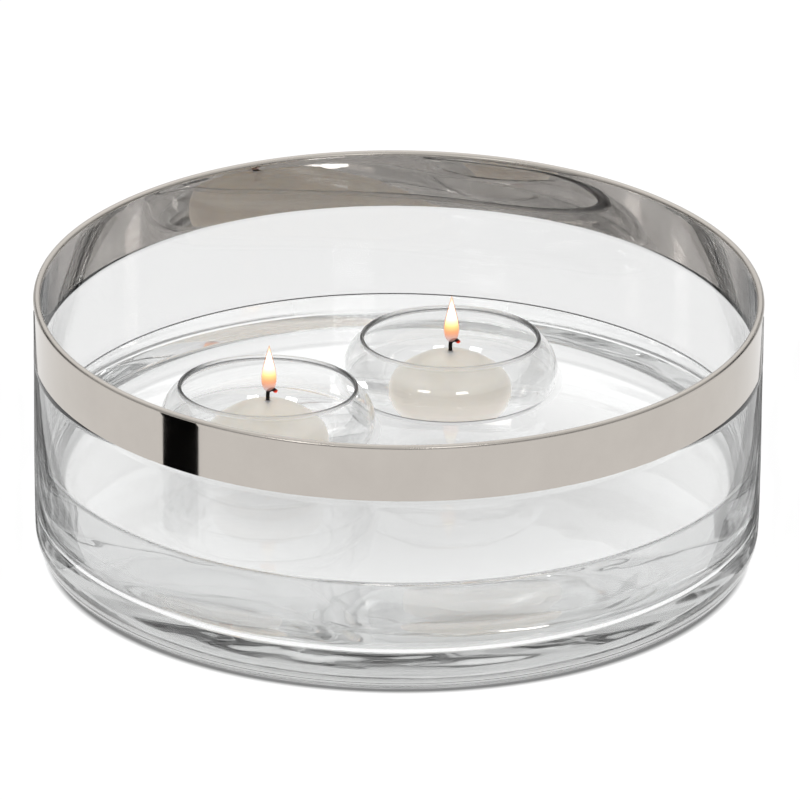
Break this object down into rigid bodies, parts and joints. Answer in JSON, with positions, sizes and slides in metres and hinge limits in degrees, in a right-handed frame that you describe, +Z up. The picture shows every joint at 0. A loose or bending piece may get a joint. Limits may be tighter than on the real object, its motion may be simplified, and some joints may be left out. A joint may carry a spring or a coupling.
{
  "type": "floating candle bowl",
  "caption": "Wide clear glass bowl with a polished metal rim band, part filled with water, holding squat floating glass cups that each carry a small wax candle.",
  "frame": {"origin": "centre of the bowl's base, on the surface it stands on", "axes": "+Z up out of the bowl's mouth, +Y towards the back, +X to the right as the picture is seen"},
  "size_m": [0.255, 0.255, 0.096],
  "materials": {
    "bowl_glass": "polished",
    "rim_band": "polished",
    "water": "gloss",
    "cup_glass": "polished",
    "wax": "satin",
    "wick": "matte",
    "wick_tab": "satin"
  },
  "bodies": {
    "bowl": {"bowl_glass": "bowl_glass", "rim_band": "rim_band", "water": "water"},
    "cup_left": {"cup_left_glass": "cup_glass"},
    "cup_right": {"cup_right_glass": "cup_glass"},
    "candle_left": {"candle_left_wax": "wax", "wick_left": "wick", "wick_tab_left": "wick_tab"},
    "candle_right": {"candle_right_wax": "wax", "wick_right": "wick", "wick_tab_right": "wick_tab"}
  },
  "joints": [
    {"name": "cup_left_lift", "type": "slide", "parent": "bowl", "child": "cup_left", "axis": [0, 0, 1], "range_m": [0, 0.085]},
    {"name": "cup_right_lift", "type": "slide", "parent": "bowl", "child": "cup_right", "axis": [0, 0, 1], "range_m": [0, 0.085]},
    {"name": "candle_left_lift", "type": "slide", "parent": "cup_left", "child": "candle_left", "axis": [0, 0.061, 0.9981], "range_m": [0, 0.045]},
    {"name": "candle_right_lift", "type": "slide", "parent": "cup_right", "child": "candle_right", "axis": [0, 0.061, 0.9981], "range_m": [0, 0.045]}
  ]
}
